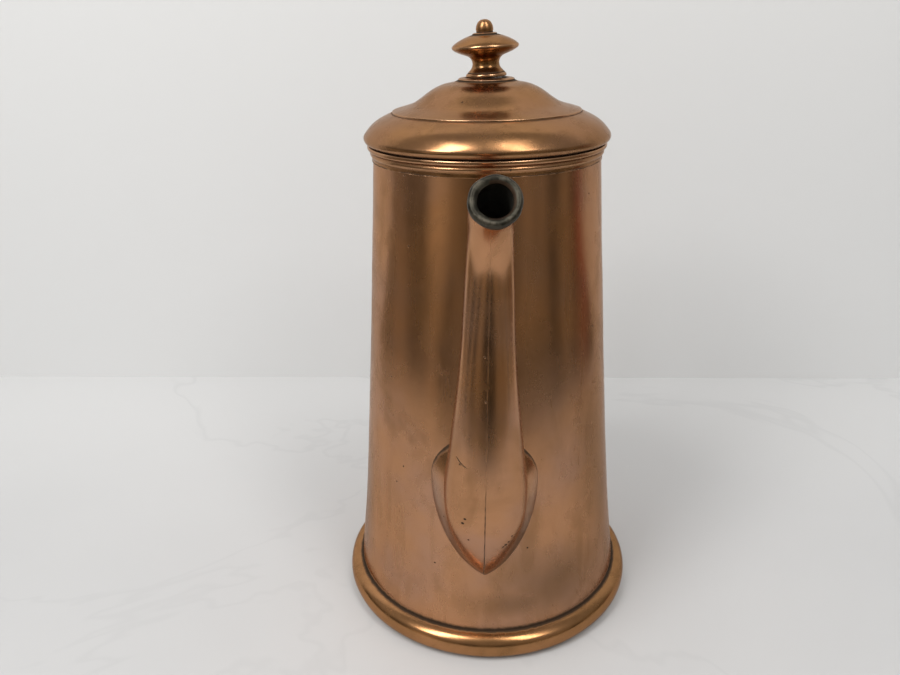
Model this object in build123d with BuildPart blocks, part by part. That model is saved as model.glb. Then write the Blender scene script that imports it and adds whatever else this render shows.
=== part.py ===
from build123d import *
import os
from math import cos, radians, sin

# Copper coffee pot with a hinged, domed lid and a gooseneck spout.
# The origin is on the pot's axis at the table. +Z is up, the spout points to -Y and the
# handle to +Y. All sizes are in millimetres.

os.makedirs("parts", exist_ok=True)

# Driving dimensions: body and foot
SHEET = 1.0                    # copper sheet of the body
THIN_SHEET = 0.8               # copper sheet of the lid and spout
FOOT_WALL_R = 67.9             # wall radius inside the foot
BEAD_R = 6.7                   # radius of the rolled foot bead
REST_INNER_R = 63.0            # inner edge of the flat ring that the pot stands on
RIM_R = 50.2                   # wall radius at the mouth
RIM_Z = 230.0                  # top edge of the wall
PAN_Z = 8.0                    # top of the base pan
COLLAR_LOW_Z = 223.6
COLLAR_TOP_Z = 230.6

# Driving dimensions: lid and knob
LID_LOW_Z = 230.9
LID_RIM_R = 54.3
STEP_R = 41.3                  # edge of the dome on the rim moulding
DOME_TOP_Z = 256.3
BEZEL_R = 48.4
BEZEL_LOW_Z = 225.0
BEZEL_TOP_Z = 238.6
WASHER_TOP_Z = 257.3
KNOB_BASE_R = 8.7
KNOB_TILT = 2.3                # the knob leans to -X by this many degrees
STUD_R = 2.0
STUD_HOLE_R = 2.6
INNER_WASHER_R = 7.0

# Driving dimensions: spout
SPOUT_LEAN = 0.016             # sideways drift of the spout, per millimetre of height
SPOUT_FOOT = (-1.2, 44.0)      # X and Z where the drift starts
LIP_X = 2.9
LIP_OUT = 105.0                # lip centre, distance in front of the axis
LIP_Z = 226.8
LIP_ELEVATION = 35.0
LIP_R = 9.1
LIP_HOLE_R = 5.9
STRAINER_HOLE_R = 1.9
STRAINER_PITCH = (7.0, 8.0)    # across and up
STRAINER_Z = 80.0

# Driving dimensions: handle and hinge
SOCKET_BORE_R = 8.0
SOCKET_MOUTH_R = 9.8
TENON_LENGTH = 15.0
UPPER_SOCKET = (182.0, 8.0)    # height on the axis, rise in degrees
LOWER_SOCKET = (73.0, 14.0)
HANDLE_PIN_R = 1.5
HANDLE_PIN_HALF = 9.9
HANDLE_PIN_SETBACK = 8.0       # from a socket's mouth to its pin
SOCKET_END = 80.0              # distance from the axis to each socket's mouth
HINGE_Y = 60.5
HINGE_Z = 232.5
KNUCKLE_R = 3.0
PIN_R = 1.25
PIN_CLEARANCE = 0.05
KNUCKLE_HALF = 4.0             # half length of the lid's knuckle
HINGE_HALF = 10.0              # half length of the whole hinge, without the pin's heads
SIDE_GAP = 0.1                 # between the knuckle and each lug

BEAD_HEIGHT = 2 * BEAD_R
# The wall flares gently towards the foot: radius and height of each break in its taper
LOWER_TAPER = ((64.6, 43.0), (58.2, 116.0))
UPPER_TAPER = ((54.4, 170.0), (RIM_R, RIM_Z))
WALL_POINTS = [(FOOT_WALL_R, SHEET), (FOOT_WALL_R, BEAD_HEIGHT), (66.1, 28.0), *LOWER_TAPER,
               *UPPER_TAPER]


def wall_line(inset):
    """Side line of the body, from the foot to the mouth, moved in by inset."""
    return Polyline([(radius - inset, height) for radius, height in WALL_POINTS])


def trim_to_wall(taper, low, high):
    """Cut the piece being built back to the wall's outside, along one taper of the wall."""
    (start_r, start_z), (end_r, end_z) = taper
    slope = (end_r - start_r) / (end_z - start_z)
    with Locations((0, 0, low)):
        Cone(start_r + slope * (low - start_z), start_r + slope * (high - start_z), high - low,
             align=(Align.CENTER, Align.CENTER, Align.MIN), mode=Mode.SUBTRACT)


def lean_x(height):
    """X of the spout's middle at a height."""
    return SPOUT_FOOT[0] + SPOUT_LEAN * (height - SPOUT_FOOT[1])


# Body wall: one tapered tube of sheet, pierced as a strainer behind the spout
with BuildPart() as body_wall:
    with BuildSketch(Plane.XZ):
        with BuildLine():
            outer = wall_line(0)
            inner = wall_line(SHEET)
            Line(outer @ 0, inner @ 0)
            Line(outer @ 1, inner @ 1)
        make_face()
    revolve(axis=Axis.Z)
    with BuildSketch(Plane.XZ.offset(FOOT_WALL_R - 20)):
        with Locations((lean_x(STRAINER_Z), STRAINER_Z)):
            with GridLocations(*STRAINER_PITCH, 4, 5):
                Circle(STRAINER_HOLE_R)
    extrude(amount=25, mode=Mode.SUBTRACT)

# Base pan: a disc with a turned-down edge that stands on the foot ring
with BuildPart() as base_pan:
    pan_r = FOOT_WALL_R - SHEET
    with BuildSketch(Plane.XZ):
        with BuildLine():
            Polyline((0, PAN_Z), (pan_r, PAN_Z), (pan_r, SHEET), (pan_r - SHEET, SHEET),
                     (pan_r - SHEET, PAN_Z - SHEET), (0, PAN_Z - SHEET), close=True)
        make_face()
    revolve(axis=Axis.Z)
    fillet(base_pan.edges().filter_by(GeomType.CIRCLE).sort_by(Axis.Z)[-1], radius=1.5)

# Foot ring: a hollow rolled bead with a flat ring turned in under the wall
with BuildPart() as foot_ring:
    with BuildSketch(Plane.XZ):
        with BuildLine():
            ThreePointArc((FOOT_WALL_R, 0), (FOOT_WALL_R + BEAD_R, BEAD_R),
                          (FOOT_WALL_R, BEAD_HEIGHT))
            Line((FOOT_WALL_R, BEAD_HEIGHT), (FOOT_WALL_R, BEAD_HEIGHT - SHEET))
            ThreePointArc((FOOT_WALL_R, BEAD_HEIGHT - SHEET),
                          (FOOT_WALL_R + BEAD_R - SHEET, BEAD_R), (FOOT_WALL_R, SHEET))
            Polyline((FOOT_WALL_R, SHEET), (REST_INNER_R, SHEET), (REST_INNER_R, 0),
                     (FOOT_WALL_R, 0))
        make_face()
    revolve(axis=Axis.Z)

# Rim collar: a moulded band around the mouth, with a lip over the wall's top edge
with BuildPart() as rim_collar:
    with BuildSketch(Plane.XZ):
        with BuildLine():
            ThreePointArc((52.2, COLLAR_TOP_Z), (52.9, 229.4), (52.2, 228.2))
            Line((52.2, 228.2), (51.4, 227.7))
            ThreePointArc((51.4, 227.7), (51.6, 226.6), (51.1, 225.6))
            Polyline((51.1, 225.6), (51.0, 225.3), (51.05, COLLAR_LOW_Z), (49.6, COLLAR_LOW_Z),
                     (49.2, RIM_Z), (49.2, COLLAR_TOP_Z), (52.2, COLLAR_TOP_Z))
        make_face()
    revolve(axis=Axis.Z)
    trim_to_wall(UPPER_TAPER, COLLAR_LOW_Z - 5, RIM_Z)

# Spout stations, from inside the wall to the mouth. Each has its front point and its back
# point as (distance in front of the axis, height), its width, how pointed its front is, and
# how much it is flared towards the wall.
TUBE_END_R = 7.6
lip_reach = TUBE_END_R * sin(radians(LIP_ELEVATION))
lip_drop = TUBE_END_R * cos(radians(LIP_ELEVATION))
SPOUT_STATIONS = [
    ((55.0, 38.5), (46.5, 119.0), 54.0, 1.0, 1.0),
    ((62.0, 41.5), (53.5, 117.0), 46.5, 1.0, 0.8),
    ((66.0, 44.5), (60.0, 113.5), 38.5, 1.0, 0.65),
    ((72.5, 51.0), (62.5, 112.5), 33.5, 0.9, 0.5),
    ((80.0, 62.5), (64.0, 115.0), 34.5, 0.7, 0.35),
    ((86.5, 78.5), (65.0, 121.0), 35.0, 0.5, 0.15),
    ((90.5, 97.0), (65.5, 128.5), 32.0, 0.4, 0.0),
    ((91.5, 115.0), (66.0, 136.5), 29.0, 0.3, 0.0),
    ((91.0, 139.0), (67.0, 149.0), 25.0, 0.2, 0.0),
    ((90.0, 163.0), (69.0, 165.0), 21.5, 0.1, 0.0),
    ((91.5, 189.5), (73.5, 193.5), 18.5, 0.0, 0.0),
    ((93.5, 201.0), (78.0, 207.0), 17.0, 0.0, 0.0),
    ((98.0, 210.0), (85.0, 219.0), 16.0, 0.0, 0.0),
    ((104.0, 216.5), (94.0, 228.5), 15.5, 0.0, 0.0),
    ((LIP_OUT + lip_reach, LIP_Z - lip_drop), (LIP_OUT - lip_reach, LIP_Z + lip_drop),
     2 * TUBE_END_R, 0.0, 0.0),
]
ROUND = 0.5523                 # Bezier handle of a quarter circle
POINT_TRIM = 0.1               # how much a pointed front shortens the handles
POINT_ANGLE = 0.17             # how much a pointed front lifts the tip's handle
FLARE_RISE = 0.4               # how far a flared section's widest place is above its middle
FLARE_FULLNESS = 0.22          # how much a flared section's lower side is filled out


def spout_half_section(front, back, width, point, flare, turn):
    """One half of the spout's wall at a station, cut off at the middle: turn is -1 or 1."""
    across = Vector(0, front[0] - back[0], back[1] - front[1])
    middle_z = (front[1] + back[1]) / 2
    middle_x = LIP_X if front == SPOUT_STATIONS[-1][0] else lean_x(middle_z)
    plane = Plane(origin=(middle_x, -(front[0] + back[0]) / 2, middle_z), x_dir=(1, 0, 0),
                  z_dir=Vector(1, 0, 0).cross(across))
    pull = ROUND - POINT_TRIM * point
    with BuildSketch(plane) as section:
        with BuildLine():
            for wall in (0, THIN_SHEET):
                side = turn * (width / 2 - wall)
                half = across.length / 2 - wall
                widest = FLARE_RISE * flare * half
                Bezier((0, half), (side * ROUND, half),
                       (side, widest + (half - widest) * ROUND), (side, widest))
                Bezier((side, widest), (side, widest - (half + widest) * pull),
                       (side * (pull + FLARE_FULLNESS * flare),
                        -half * (1 - POINT_ANGLE * point)), (0, -half))
            for end in (1, -1):
                outer_end = end * across.length / 2
                Line((0, outer_end), (0, outer_end - end * THIN_SHEET))
        make_face()
    return section.sketch


def spout_half_sections(turn):
    """The half sections of all stations, on one side."""
    return [spout_half_section(*station, turn) for station in SPOUT_STATIONS]


# Spout: two raised halves, brazed along the seams in front and behind
with BuildPart() as spout_left_half:
    loft(spout_half_sections(-1), ruled=True)
    trim_to_wall(LOWER_TAPER, 30, 130)

with BuildPart() as spout_right_half:
    loft(spout_half_sections(1), ruled=True)
    trim_to_wall(LOWER_TAPER, 30, 130)

# Spout lip: a thick ring around the spout's mouth, with a bevel down to the throat
lip_normal = Vector(0, -cos(radians(LIP_ELEVATION)), sin(radians(LIP_ELEVATION)))
lip_centre = Vector(LIP_X, -LIP_OUT, LIP_Z)
lip_plane = Plane(origin=lip_centre, x_dir=(1, 0, 0), z_dir=Vector(1, 0, 0).cross(lip_normal))
with BuildPart() as spout_lip:
    with BuildSketch(lip_plane):
        with BuildLine():
            Polyline((LIP_HOLE_R, 0), (LIP_HOLE_R, 0.4), (7.4, 1.5))
            ThreePointArc((7.4, 1.5), (8.7, 1.0), (LIP_R, -0.2))
            Polyline((LIP_R, -0.2), (8.9, -3.0), (TUBE_END_R, -3.0), (TUBE_END_R, 0),
                     (LIP_HOLE_R, 0))
        make_face()
    revolve(axis=Axis(lip_centre, lip_normal))
    add(spout_left_half.part, mode=Mode.SUBTRACT)
    add(spout_right_half.part, mode=Mode.SUBTRACT)

# Lid rim moulding: a cushion-shaped ring with a flat flange turned in underneath
FLARE_SLOPE = -0.276           # slope of the dome's skirt, where it lies on the moulding
SKIRT = (35.5, 245.75)         # radius and height where the skirt starts
SHOULDER = (52.5, 236.4)


def skirt_z(radius, drop):
    """Height of the dome's skirt at a radius, lowered by drop."""
    return SKIRT[1] + FLARE_SLOPE * (radius - SKIRT[0]) - drop


def moulding_line():
    """Outside of the lid's rim, from under the dome to the flange at the bottom."""
    shelf_end = (STEP_R, skirt_z(STEP_R, THIN_SHEET))
    Line((37.0, skirt_z(37.0, THIN_SHEET)), shelf_end)
    ThreePointArc(shelf_end, (47.2, 240.9), SHOULDER)
    ThreePointArc(SHOULDER, (LID_RIM_R, 233.5), (52.6, LID_LOW_Z))
    Line((52.6, LID_LOW_Z), (BEZEL_R, LID_LOW_Z))


with BuildPart() as lid_rim_moulding:
    with BuildSketch(Plane.XZ):
        with BuildLine():
            moulding_line()
            offset(amount=THIN_SHEET, side=Side.RIGHT)
        make_face()
    revolve(axis=Axis.Z)

# Lid dome: an ogee sheet with a flat top for the knob
with BuildPart() as lid_dome:
    with BuildSketch(Plane.XZ):
        with BuildLine():
            for drop in (0, THIN_SHEET):
                Line((STUD_HOLE_R, DOME_TOP_Z - drop), (12.4, DOME_TOP_Z - drop))
                Spline((12.4, DOME_TOP_Z - drop), (14.6, 255.5 - drop), (21.0, 253.8 - drop),
                       (28.0, 249.6 - drop), (SKIRT[0], SKIRT[1] - drop),
                       tangents=[(1, -0.5), (1, FLARE_SLOPE)])
                Line((SKIRT[0], SKIRT[1] - drop), (STEP_R, skirt_z(STEP_R, drop)))
            Line((STUD_HOLE_R, DOME_TOP_Z), (STUD_HOLE_R, DOME_TOP_Z - THIN_SHEET))
            Line((STEP_R, skirt_z(STEP_R, 0)), (STEP_R, skirt_z(STEP_R, THIN_SHEET)))
        make_face()
    revolve(axis=Axis.Z)

# Lid bezel: the ring that drops into the body's mouth
with BuildPart() as lid_bezel:
    with BuildSketch(Plane.XZ):
        with BuildLine():
            Polyline((BEZEL_R, BEZEL_TOP_Z), (BEZEL_R, BEZEL_LOW_Z + 1),
                     (BEZEL_R - 0.5, BEZEL_LOW_Z), (BEZEL_R - THIN_SHEET, BEZEL_LOW_Z),
                     (BEZEL_R - THIN_SHEET, BEZEL_TOP_Z), close=True)
        make_face()
    revolve(axis=Axis.Z)

# Knob washer, flat on the dome
with BuildPart() as knob_washer:
    with BuildSketch(Plane.XZ):
        with BuildLine():
            Polyline((STUD_HOLE_R, DOME_TOP_Z), (12.1, DOME_TOP_Z), (12.2, 256.8),
                     (11.2, WASHER_TOP_Z), (STUD_HOLE_R, WASHER_TOP_Z), close=True)
        make_face()
    revolve(axis=Axis.Z)

# The knob, finial, stud and nut share an axis that leans a little. Each is made upright, with
# its heights measured from the knob's base, and then set down on the leaning frame.
knob_up = Vector(-sin(radians(KNOB_TILT)), 0, cos(radians(KNOB_TILT)))
knob_out = Vector(cos(radians(KNOB_TILT)), 0, sin(radians(KNOB_TILT)))
knob_seat = (0, 0, WASHER_TOP_Z + KNOB_BASE_R * sin(radians(KNOB_TILT)))
knob_frame = Location(Plane(origin=knob_seat, x_dir=knob_out, z_dir=knob_up))
KNOB_TOP = 16.9
FINIAL_TOP = 22.9
STUD_LOW = -8.5
STUD_TOP = 20.4
NUT_TOP = -3.75
NUT_HEIGHT = 3.2
NUT_HALF_WIDTH = 3.5

# Knob: a turned baluster with a cove and a wide disc
with BuildPart() as knob:
    with BuildSketch(Plane.XZ):
        with BuildLine():
            Line((STUD_R, 0), (8.4, 0))
            ThreePointArc((8.4, 0), (KNOB_BASE_R, 0.7), (8.3, 1.5))
            Line((8.3, 1.5), (7.9, 1.8))
            ThreePointArc((7.9, 1.8), (5.75, 5.3), (7.3, 8.2))
            Line((7.3, 8.2), (12.6, 10.4))
            ThreePointArc((12.6, 10.4), (14.35, 12.2), (12.9, 13.9))
            ThreePointArc((12.9, 13.9), (9.8, 15.5), (5.6, KNOB_TOP))
            Polyline((5.6, KNOB_TOP), (STUD_R, KNOB_TOP), (STUD_R, 0))
        make_face()
    revolve(axis=Axis.Z)

# Finial nut: an acorn on a small flange, threaded on the stud
with BuildPart() as finial_nut:
    with BuildSketch(Plane.XZ):
        with BuildLine():
            Polyline((5.3, KNOB_TOP), (5.1, 17.5), (3.4, 17.9))
            Spline((3.4, 17.9), (3.7, 19.3), (2.5, 21.7), (0, FINIAL_TOP),
                   tangents=[(0.3, 1), (-1, 0)])
            Polyline((0, FINIAL_TOP), (0, STUD_TOP), (STUD_R, STUD_TOP), (STUD_R, KNOB_TOP),
                     (5.3, KNOB_TOP))
        make_face()
    revolve(axis=Axis.Z)

# Knob stud: a rod through the dome, from the nut to the finial
with BuildPart() as knob_stud:
    with BuildSketch(Plane.XY.offset(STUD_LOW)):
        Circle(STUD_R)
    extrude(amount=STUD_TOP - STUD_LOW)

# Lock nut, on the stud under the dome
with BuildPart() as knob_lock_nut:
    with BuildSketch(Plane.XY.offset(NUT_TOP)):
        RegularPolygon(radius=NUT_HALF_WIDTH, side_count=6, major_radius=False)
        Circle(STUD_R, mode=Mode.SUBTRACT)
    extrude(amount=-NUT_HEIGHT)

for leaning in (knob, finial_nut, knob_stud, knob_lock_nut):
    leaning.part.locate(knob_frame)

# Inner washer, flat against the dome's underside
with BuildPart() as knob_inner_washer:
    with BuildSketch(Plane.XY.offset(DOME_TOP_Z - THIN_SHEET)):
        Circle(INNER_WASHER_R)
        Circle(STUD_HOLE_R, mode=Mode.SUBTRACT)
    extrude(amount=-SHEET)


# Handle sockets: flared tubes on the back of the body
def socket_axis(height, rise):
    """Axis of a handle socket, from the pot's axis out to the back."""
    return Axis((0, 0, height), (0, cos(radians(rise)), sin(radians(rise))))


def along(axis, distance):
    """Point on a socket's axis."""
    return axis.position + axis.direction * distance


def socket_section(axis, wall_distance):
    """Half section of a socket from inside the wall to its mouth, bored for the tenon."""
    plane = Plane(origin=axis.position, x_dir=axis.direction, z_dir=(-1, 0, 0))
    root = wall_distance - 6
    with BuildSketch(plane) as section:
        with BuildLine():
            Polyline((SOCKET_END, SOCKET_BORE_R), (root, SOCKET_BORE_R), (root, 15.5),
                     (wall_distance + 1, 14.5))
            Bezier((wall_distance + 1, 14.5), (wall_distance + 3, 9.6), (wall_distance + 6, 9.2),
                   (SOCKET_END - 5, 9.2))
            Polyline((SOCKET_END - 5, 9.2), (SOCKET_END - 3, SOCKET_MOUTH_R),
                     (SOCKET_END, SOCKET_MOUTH_R), (SOCKET_END, SOCKET_BORE_R))
        make_face()
    return section.sketch


def handle_pin_circle(axis):
    """Circle of a handle pin, across a socket, in the middle plane of the pot."""
    with BuildSketch(Plane(origin=along(axis, SOCKET_END - HANDLE_PIN_SETBACK),
                           x_dir=axis.direction, z_dir=(1, 0, 0))) as circle:
        Circle(HANDLE_PIN_R)
    return circle.sketch


def pierce_for_pin(axis):
    """Cut the hole for a handle pin through the piece being built."""
    extrude(handle_pin_circle(axis), amount=2 * SOCKET_MOUTH_R, both=True, mode=Mode.SUBTRACT)


upper_axis = socket_axis(*UPPER_SOCKET)
lower_axis = socket_axis(*LOWER_SOCKET)

with BuildPart() as handle_upper_socket:
    add(socket_section(upper_axis, 53.0))
    revolve(axis=upper_axis)
    trim_to_wall(UPPER_TAPER, 160, 220)
    pierce_for_pin(upper_axis)

with BuildPart() as handle_lower_socket:
    add(socket_section(lower_axis, 61.0))
    revolve(axis=lower_axis)
    trim_to_wall(LOWER_TAPER, 50, 130)
    pierce_for_pin(lower_axis)

# Handle grip: a bent wooden ear, oval in section, with a round tenon at each end
with BuildLine(Plane.YZ) as grip_line:
    upper_end = along(upper_axis, SOCKET_END)
    lower_end = along(lower_axis, SOCKET_END)
    upper_pull = along(upper_axis, SOCKET_END + 22)
    lower_pull = along(lower_axis, SOCKET_END + 27)
    Bezier((upper_end.Y, upper_end.Z), (upper_pull.Y, upper_pull.Z), (122, 184), (121, 155),
           (120, 126), (lower_pull.Y, lower_pull.Z), (lower_end.Y, lower_end.Z))
grip_path = grip_line.edges()[0]
# Position along the path, half width across the pot, half depth
GRIP_STATIONS = [(0, 9.8, 9.8), (0.12, 9.4, 10.4), (0.3, 9.2, 11.4), (0.5, 9.2, 10.4),
                 (0.7, 9.0, 9.8), (0.88, 9.2, 9.6), (1, 9.8, 9.8)]
with BuildPart() as handle_grip:
    for place, half_width, half_depth in GRIP_STATIONS:
        with BuildSketch(Plane(origin=grip_path @ place, x_dir=(1, 0, 0), z_dir=grip_path % place)):
            Ellipse(half_width, half_depth)
    loft()
    for axis in (upper_axis, lower_axis):
        with BuildSketch(Plane(origin=along(axis, SOCKET_END - TENON_LENGTH), x_dir=(1, 0, 0),
                               z_dir=axis.direction)):
            Circle(SOCKET_BORE_R)
        extrude(amount=TENON_LENGTH)
    for axis in (upper_axis, lower_axis):
        pierce_for_pin(axis)

# Handle pins: one across each socket, through the tenon
with BuildPart() as handle_pins:
    for axis in (upper_axis, lower_axis):
        extrude(handle_pin_circle(axis), amount=HANDLE_PIN_HALF, both=True)

# Hinge, body leaf: a curved plate on the wall under the collar, with two lugs
HINGE_PLATE_Z = (208.0, 222.5)
HINGE_PLATE_SHEET = 1.4
LEAF_ANGLE = 11.0


def arc_plane(angle):
    """Upright plane through the pot's axis, turned from the back by an angle."""
    turn = radians(90 + angle)
    return Plane(origin=(0, 0, 0), x_dir=(cos(turn), sin(turn), 0), z_dir=(sin(turn), -cos(turn), 0))


with BuildPart() as hinge_body_leaf:
    with BuildSketch(arc_plane(-LEAF_ANGLE)):
        with BuildLine():
            Polyline((50, HINGE_PLATE_Z[0]), (53.2, HINGE_PLATE_Z[0]), (52.2, HINGE_PLATE_Z[1]),
                     (50, HINGE_PLATE_Z[1]), close=True)
        make_face()
    revolve(axis=Axis.Z, revolution_arc=2 * LEAF_ANGLE)
    for low_x in (-HINGE_HALF, KNUCKLE_HALF + SIDE_GAP):
        with BuildSketch(Plane.YZ.offset(low_x)):
            with BuildLine():
                Polyline((HINGE_Y - KNUCKLE_R, HINGE_Z), (HINGE_Y - KNUCKLE_R, 227),
                         (54.2, HINGE_PLATE_Z[1]), (50.5, HINGE_PLATE_Z[1]), (50.5, 209),
                         (53.0, 209), (HINGE_Y + KNUCKLE_R, 225), (HINGE_Y + KNUCKLE_R, HINGE_Z))
                ThreePointArc((HINGE_Y + KNUCKLE_R, HINGE_Z), (HINGE_Y, HINGE_Z + KNUCKLE_R),
                              (HINGE_Y - KNUCKLE_R, HINGE_Z))
            make_face()
        extrude(amount=HINGE_HALF - KNUCKLE_HALF - SIDE_GAP)
    trim_to_wall(UPPER_TAPER, HINGE_PLATE_Z[0] - 5, HINGE_PLATE_Z[1] + 5)
    with BuildSketch(Plane.YZ.offset(-HINGE_HALF)):
        with Locations((HINGE_Y, HINGE_Z)):
            Circle(PIN_R)
    extrude(amount=2 * HINGE_HALF, mode=Mode.SUBTRACT)

# Hinge, lid leaf: a strap over the lid's rim with one knuckle between the lugs
STRAP = 1.2
STRAP_ANGLE = 8.5
with BuildPart() as hinge_lid_leaf:
    with BuildSketch(arc_plane(-STRAP_ANGLE)):
        with BuildLine():
            moulding_line()
            offset(amount=STRAP, side=Side.LEFT)
        make_face()
        with Locations((50, 237.3)):
            Rectangle(12, 9.4, mode=Mode.INTERSECT)
    revolve(axis=Axis.Z, revolution_arc=2 * STRAP_ANGLE)
    with BuildSketch(Plane.YZ.offset(-KNUCKLE_HALF)):
        with Locations((HINGE_Y, HINGE_Z)):
            Circle(KNUCKLE_R)
        with BuildLine():
            Polyline((54.9, 233.2), (HINGE_Y, HINGE_Z - KNUCKLE_R), (HINGE_Y, HINGE_Z + KNUCKLE_R),
                     (53.9, 235.6), close=True)
        make_face()
        with Locations((HINGE_Y, HINGE_Z)):
            Circle(PIN_R + PIN_CLEARANCE, mode=Mode.SUBTRACT)
    extrude(amount=2 * KNUCKLE_HALF)

# Hinge pin, headed over at both ends
PIN_HEAD = 0.9
PIN_HEAD_R = 2.1
with BuildPart() as hinge_pin:
    with BuildSketch(Plane.YZ.offset(-HINGE_HALF)):
        with Locations((HINGE_Y, HINGE_Z)):
            Circle(PIN_R)
    extrude(amount=2 * HINGE_HALF)
    for low_x in (-HINGE_HALF - PIN_HEAD, HINGE_HALF):
        with BuildSketch(Plane.YZ.offset(low_x)):
            with Locations((HINGE_Y, HINGE_Z)):
                Circle(PIN_HEAD_R)
        extrude(amount=PIN_HEAD)

for name, piece in {
    "body_wall": body_wall,
    "base_pan": base_pan,
    "foot_ring": foot_ring,
    "rim_collar": rim_collar,
    "spout_left_half": spout_left_half,
    "spout_right_half": spout_right_half,
    "spout_lip": spout_lip,
    "lid_rim_moulding": lid_rim_moulding,
    "lid_dome": lid_dome,
    "lid_bezel": lid_bezel,
    "knob_washer": knob_washer,
    "knob": knob,
    "finial_nut": finial_nut,
    "knob_stud": knob_stud,
    "knob_inner_washer": knob_inner_washer,
    "knob_lock_nut": knob_lock_nut,
    "handle_upper_socket": handle_upper_socket,
    "handle_lower_socket": handle_lower_socket,
    "handle_grip": handle_grip,
    "handle_pins": handle_pins,
    "hinge_body_leaf": hinge_body_leaf,
    "hinge_lid_leaf": hinge_lid_leaf,
    "hinge_pin": hinge_pin,
}.items():
    piece.part.label = name
    export_step(piece.part, f"parts/{name}.step")
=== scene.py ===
import math

import bmesh
import bpy
import numpy as np
from mathutils import Matrix, Vector, noise


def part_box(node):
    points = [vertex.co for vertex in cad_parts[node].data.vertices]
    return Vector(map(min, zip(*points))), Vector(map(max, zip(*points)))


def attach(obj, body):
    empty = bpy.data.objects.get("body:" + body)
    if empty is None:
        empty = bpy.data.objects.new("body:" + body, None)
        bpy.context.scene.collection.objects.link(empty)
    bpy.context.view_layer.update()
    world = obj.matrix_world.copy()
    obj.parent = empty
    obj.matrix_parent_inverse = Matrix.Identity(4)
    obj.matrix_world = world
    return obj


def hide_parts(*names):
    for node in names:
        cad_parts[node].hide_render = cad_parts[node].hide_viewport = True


# The looks of the copper coffee pot. Shapes are worked out in millimetres in the frame of the
# part, and become metres when a mesh is made. Heights and radii come from the CAD nodes.

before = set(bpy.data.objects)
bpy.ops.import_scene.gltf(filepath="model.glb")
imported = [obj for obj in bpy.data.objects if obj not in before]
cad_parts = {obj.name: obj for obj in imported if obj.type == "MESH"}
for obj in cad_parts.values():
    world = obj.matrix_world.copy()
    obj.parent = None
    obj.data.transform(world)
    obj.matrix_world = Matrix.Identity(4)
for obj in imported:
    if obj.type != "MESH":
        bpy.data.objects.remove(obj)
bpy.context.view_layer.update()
MM = 0.001
POT = "pot"
LID = "lid"


def low(node):
    """Lowest corner of a CAD node, in millimetres."""
    return np.array(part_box(node)[0]) / MM


def high(node):
    """Highest corner of a CAD node, in millimetres."""
    return np.array(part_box(node)[1]) / MM


# ---------------- Curves

def cubic(knots, values):
    """Natural cubic spline through the values at the knots, as a function."""
    x = np.asarray(knots, float)
    y = np.asarray(values, float)
    count = len(x)
    gap = np.diff(x)
    matrix = np.eye(count)
    right = np.zeros_like(y)
    for i in range(1, count - 1):
        matrix[i, i - 1:i + 2] = gap[i - 1], 2 * (gap[i - 1] + gap[i]), gap[i]
        right[i] = 6 * ((y[i + 1] - y[i]) / gap[i] - (y[i] - y[i - 1]) / gap[i - 1])
    bend = np.linalg.solve(matrix, right)

    def at(places):
        places = np.asarray(places, float)
        i = np.clip(np.searchsorted(x, places) - 1, 0, count - 2)
        h = gap[i]
        a = x[i + 1] - places
        b = places - x[i]
        if y.ndim > 1:
            h, a, b = h[:, None], a[:, None], b[:, None]
        return (bend[i] * a ** 3 + bend[i + 1] * b ** 3) / (6 * h) + (
            (y[i] / h - bend[i] * h / 6) * a + (y[i + 1] / h - bend[i + 1] * h / 6) * b)

    return at


def lengths(points):
    """Distance along a line of points, from its start to each point."""
    steps = np.linalg.norm(np.diff(points, axis=0), axis=1)
    return np.concatenate([[0.0], np.cumsum(steps)])


def span(points, step):
    """Points along a straight line or a smooth curve, about a step apart."""
    points = np.asarray(points, float)
    far = lengths(points)
    places = np.linspace(0, far[-1], max(2, int(far[-1] / step) + 1))
    if len(points) == 2:
        return points[0] + (points[1] - points[0]) * (places / far[-1])[:, None]
    return cubic(far, points)(places)


def resample(points, places):
    """Points of a line at the given shares of its length."""
    far = lengths(points)
    return np.column_stack([np.interp(places * far[-1], far, points[:, k])
                            for k in range(points.shape[1])])


def moved(radius, height, points):
    """Points of a profile that are given from a radius and a height."""
    return [(radius + r, height + z) for r, z in points]


FINE_STEP = 0.1
CORNER = 0.16                  # how far corners are rounded over
TURN_PER_ROW = math.radians(5)
LONGEST_ROW = 2.6


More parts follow.
